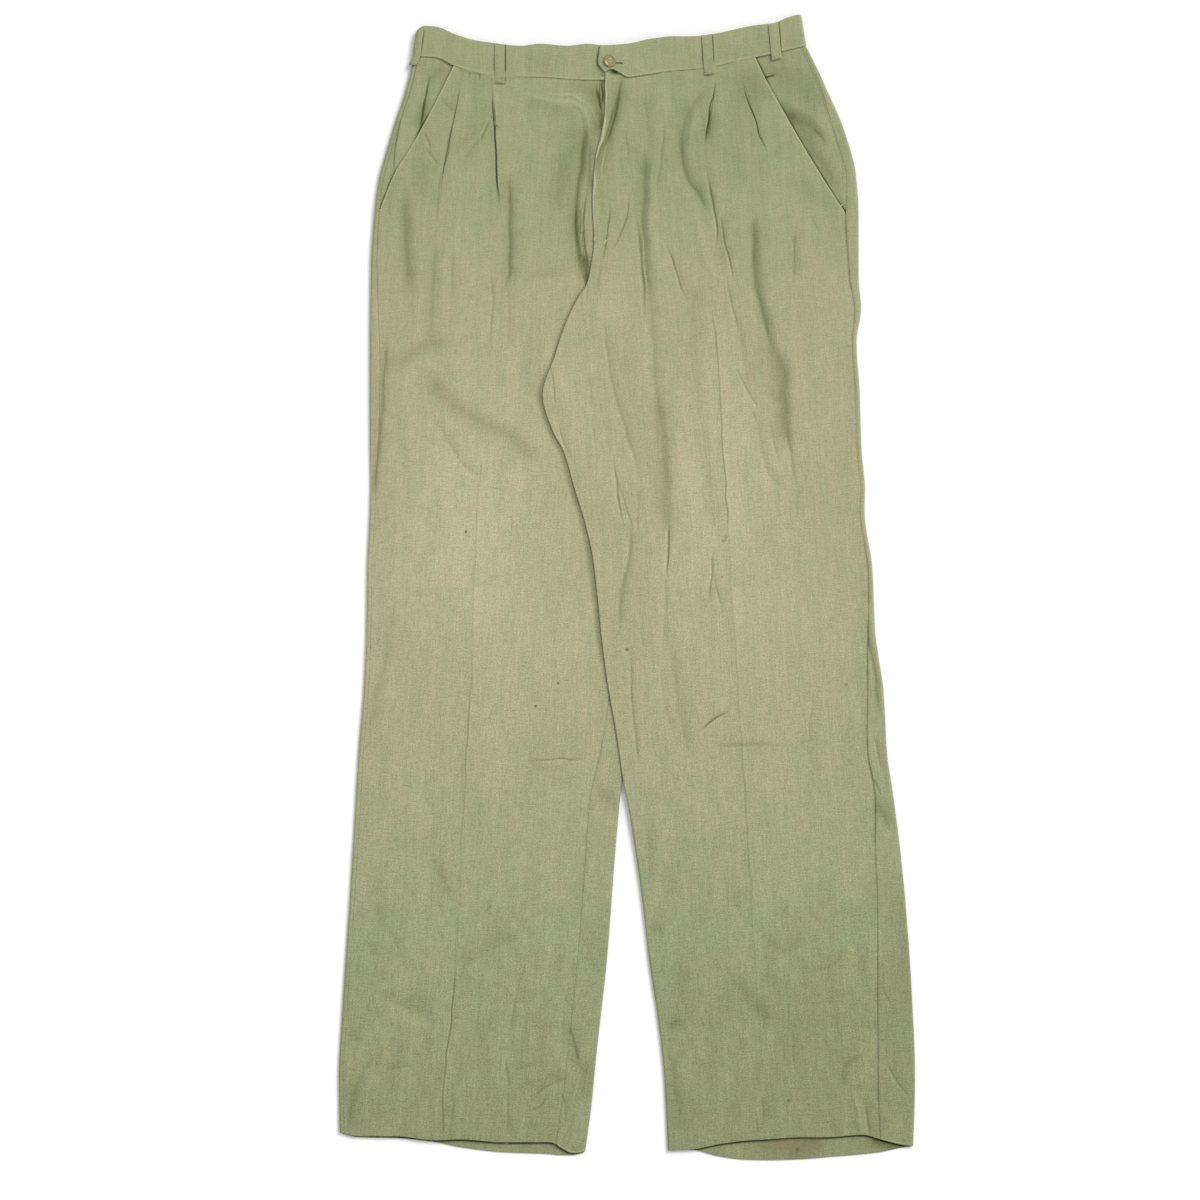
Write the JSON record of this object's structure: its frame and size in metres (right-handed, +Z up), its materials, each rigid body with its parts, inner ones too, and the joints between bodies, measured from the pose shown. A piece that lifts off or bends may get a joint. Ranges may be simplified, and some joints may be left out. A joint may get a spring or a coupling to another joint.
{
  "type": "pleated linen trousers laid flat",
  "caption": "Double-pleated linen trousers lying flat on their back, front up, one leg over the other, with a buttoned waistband, belt loops and slant pockets.",
  "frame": {"origin": "middle of the trousers' outline, on the surface they lie on", "axes": "+X towards the wearer's left, +Y from the hems to the waist, +Z up from the surface, out of the front"},
  "size_m": [0.5757, 1.145, 0.0141],
  "materials": {
    "linen": "slubby plain-weave linen, matt",
    "pocketing": "plain cotton pocketing",
    "zip_tape": "woven tape with a tooth strip",
    "slider_metal": "antique brass",
    "button": "mottled horn, satin",
    "thread": "sewing thread"
  },
  "bodies": {
    "root": {"front_right": "linen", "front_left": "linen", "back_right": "linen", "back_left": "linen", "waistband_right": "linen", "waistband_left": "linen", "pocket_facing_right": "linen", "pocket_facing_left": "linen", "pocket_bag_right": "pocketing", "pocket_bag_left": "pocketing", "fly_shield": "linen", "zip": "zip_tape", "zip_slider": "slider_metal", "belt_loop_front_1": "linen", "belt_loop_front_2": "linen", "belt_loop_front_3": "linen", "belt_loop_front_4": "linen", "belt_loop_back_1": "linen", "belt_loop_back_2": "linen", "belt_loop_back_3": "linen", "waist_button": "button", "button_thread": "thread"}
  },
  "joints": []
}
